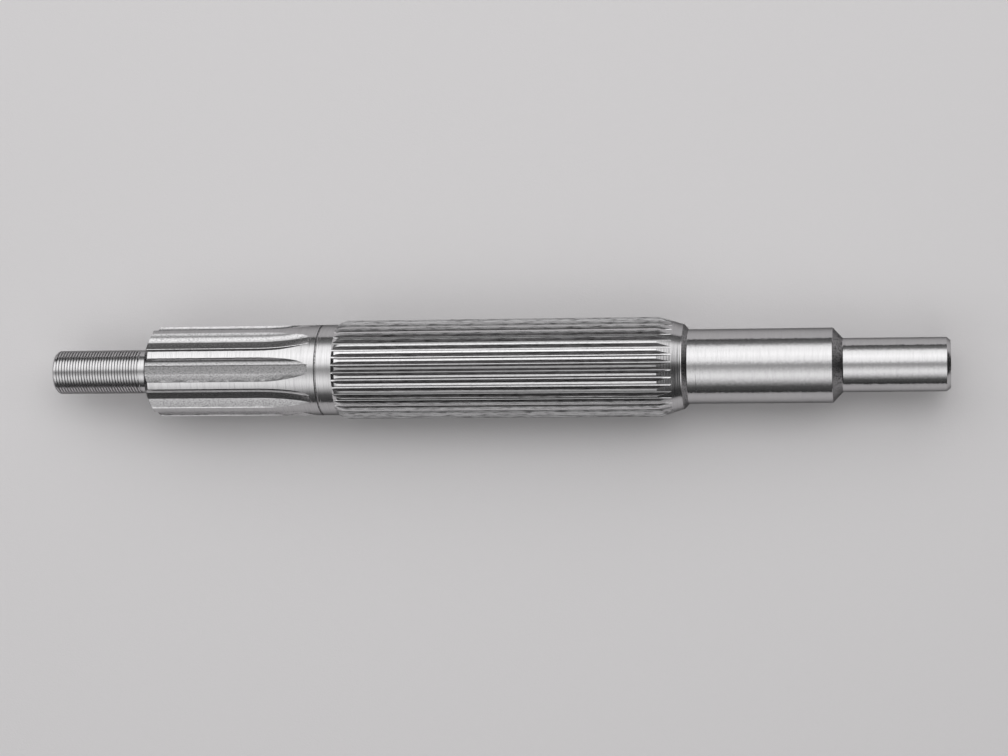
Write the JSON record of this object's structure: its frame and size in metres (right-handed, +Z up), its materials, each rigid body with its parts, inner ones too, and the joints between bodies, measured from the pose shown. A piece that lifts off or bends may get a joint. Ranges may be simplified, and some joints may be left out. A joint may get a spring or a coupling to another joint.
{
  "type": "splined shaft",
  "caption": "One-piece steel shaft with a threaded stub, a coarse milled spline, a fine serration, a ground bearing journal and an end pin.",
  "frame": {"origin": "on the shaft's centre line where the bearing journal begins, at the foot of the conical shoulder", "axes": "+X along the centre line towards the end pin; +Z up, through the middle of a groove of the coarse spline and of a tooth of the serration"},
  "size_m": [0.3064, 0.0334, 0.0334],
  "materials": {
    "shaft_steel": "bare steel, turned and ground"
  },
  "bodies": {
    "root": {"splined_shaft": "shaft_steel"}
  },
  "joints": []
}
